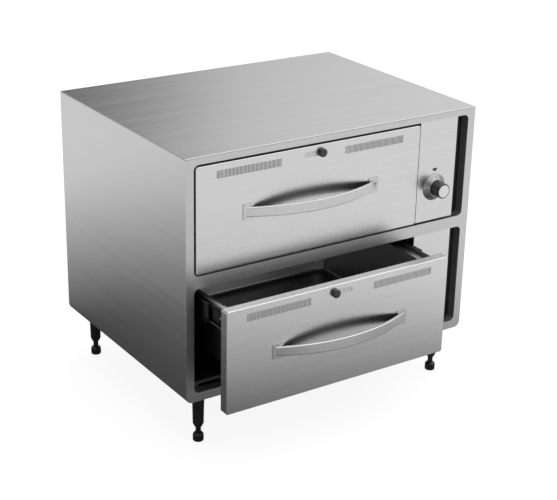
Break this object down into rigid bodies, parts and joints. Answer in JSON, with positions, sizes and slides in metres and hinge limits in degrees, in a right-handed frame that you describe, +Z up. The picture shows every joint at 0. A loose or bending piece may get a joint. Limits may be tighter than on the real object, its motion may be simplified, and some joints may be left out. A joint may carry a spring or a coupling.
{
  "type": "countertop warming drawer",
  "caption": "Free-standing heated cabinet whose pull-out pan drawers, on telescopic slides, keep food warm, each with a thermostat dial, sliding vent and bowed handle.",
  "frame": {"origin": "on the ground, under the middle of the whole unit as it stands, with the upper drawer shut and the lower drawer 120 mm open", "axes": "+X to the right seen from the front, +Y to the back, +Z up; the drawers open towards -Y"},
  "size_m": [0.749, 0.74, 0.661],
  "materials": {
    "stainless_cabinet": "brushed from left to right, satin",
    "galvanised_back": "zinc coated sheet, dull",
    "stainless_front": "brushed from left to right, satin",
    "liner_steel": "mill finish, heat dulled",
    "pan_steel": "drawn, satin",
    "slide_steel": "dark zinc plated",
    "handle_steel": "finely polished",
    "fastener_steel": "plain stainless",
    "glass_wool": "fibre blanket faced with black tissue",
    "element_sheath": "oxidised alloy sheath",
    "sensor_copper": "plain copper",
    "black_baffle": "matt black",
    "dial_aluminium": "spun, satin",
    "black_gland": "moulded nylon",
    "terminal_plastic": "moulded melamine",
    "wire_silicone": "soft sleeve",
    "black_leg": "moulded, semi gloss",
    "thermostat_case": "moulded phenolic",
    "shaft_brass": "turned",
    "black_knob": "moulded phenolic"
  },
  "bodies": {
    "cabinet": {"top_panel": "stainless_cabinet", "left_side_panel": "stainless_cabinet", "right_side_panel": "stainless_cabinet", "front_frame": "stainless_cabinet", "back_panel": "galvanised_back", "base_pan": "galvanised_back", "divider_wall": "galvanised_back", "cabinet_fasteners": "fastener_steel", "cabinet_insulation": "glass_wool", "element_clips": "fastener_steel", "sensor_bulbs": "sensor_copper", "vent_baffles": "black_baffle", "cord_gland": "black_gland", "terminal_block": "terminal_plastic", "wiring": "wire_silicone", "legs": "black_leg", "cabinet_slides": "slide_steel", "lower_liner": "liner_steel", "lower_heating_element": "element_sheath", "lower_control_panel": "stainless_front", "lower_thermostat": "thermostat_case", "upper_liner": "liner_steel", "upper_heating_element": "element_sheath", "upper_control_panel": "stainless_front", "upper_thermostat": "thermostat_case"},
    "lower_drawer": {"lower_drawer_front": "stainless_front", "lower_front_liner": "liner_steel", "lower_front_insulation": "glass_wool", "lower_handle": "handle_steel", "lower_handle_screws": "fastener_steel", "lower_pan_frame": "pan_steel", "lower_food_pan": "pan_steel", "lower_drawer_slides": "slide_steel"},
    "lower_middle_slides": {"lower_slide_middle": "slide_steel"},
    "lower_vent_slider": {"lower_vent_shutter": "stainless_front", "lower_shutter_knob": "black_knob"},
    "lower_dial": {"lower_dial_skirt": "dial_aluminium", "lower_knob": "black_knob", "lower_knob_insert": "dial_aluminium", "lower_thermostat_shaft": "shaft_brass"},
    "upper_drawer": {"upper_drawer_front": "stainless_front", "upper_front_liner": "liner_steel", "upper_front_insulation": "glass_wool", "upper_handle": "handle_steel", "upper_handle_screws": "fastener_steel", "upper_pan_frame": "pan_steel", "upper_food_pan": "pan_steel", "upper_drawer_slides": "slide_steel"},
    "upper_middle_slides": {"upper_slide_middle": "slide_steel"},
    "upper_vent_slider": {"upper_vent_shutter": "stainless_front", "upper_shutter_knob": "black_knob"},
    "upper_dial": {"upper_dial_skirt": "dial_aluminium", "upper_knob": "black_knob", "upper_knob_insert": "dial_aluminium", "upper_thermostat_shaft": "shaft_brass"},
    "foot_front_left": {"foot_front_left": "black_leg"},
    "foot_front_right": {"foot_front_right": "black_leg"},
    "foot_rear_left": {"foot_rear_left": "black_leg"},
    "foot_rear_right": {"foot_rear_right": "black_leg"}
  },
  "joints": [
    {"name": "lower_drawer_slide", "type": "slide", "parent": "cabinet", "child": "lower_drawer", "axis": [0, -1, 0], "range_m": [-0.12, 0.28]},
    {"name": "lower_middle_slide", "type": "slide", "parent": "cabinet", "child": "lower_middle_slides", "axis": [0, -1, 0], "range_m": [-0.06, 0.14]},
    {"name": "lower_vent_slide", "type": "slide", "parent": "lower_drawer", "child": "lower_vent_slider", "axis": [1, 0, 0], "range_m": [0, 0.04]},
    {"name": "lower_dial_turn", "type": "hinge", "parent": "cabinet", "child": "lower_dial", "pos_m": [0.267, -0.208, 0.222], "axis": [0, 1, 0], "range_deg": [0, 270]},
    {"name": "upper_drawer_slide", "type": "slide", "parent": "cabinet", "child": "upper_drawer", "axis": [0, -1, 0], "range_m": [0, 0.4]},
    {"name": "upper_middle_slide", "type": "slide", "parent": "cabinet", "child": "upper_middle_slides", "axis": [0, -1, 0], "range_m": [0, 0.2]},
    {"name": "upper_vent_slide", "type": "slide", "parent": "upper_drawer", "child": "upper_vent_slider", "axis": [1, 0, 0], "range_m": [-0.04, 0]},
    {"name": "upper_dial_turn", "type": "hinge", "parent": "cabinet", "child": "upper_dial", "pos_m": [0.267, -0.208, 0.489], "axis": [0, 1, 0], "range_deg": [0, 270]},
    {"name": "front_left_foot_screw", "type": "slide", "parent": "cabinet", "child": "foot_front_left", "axis": [0, 0, -1], "range_m": [0, 0.025]},
    {"name": "front_right_foot_screw", "type": "slide", "parent": "cabinet", "child": "foot_front_right", "axis": [0, 0, -1], "range_m": [0, 0.025]},
    {"name": "rear_left_foot_screw", "type": "slide", "parent": "cabinet", "child": "foot_rear_left", "axis": [0, 0, -1], "range_m": [0, 0.025]},
    {"name": "rear_right_foot_screw", "type": "slide", "parent": "cabinet", "child": "foot_rear_right", "axis": [0, 0, -1], "range_m": [0, 0.025]}
  ],
  "couplings": [
    {"joint": "lower_middle_slide", "follows": "lower_drawer_slide", "ratio": 0.5},
    {"joint": "upper_middle_slide", "follows": "upper_drawer_slide", "ratio": 0.5}
  ]
}
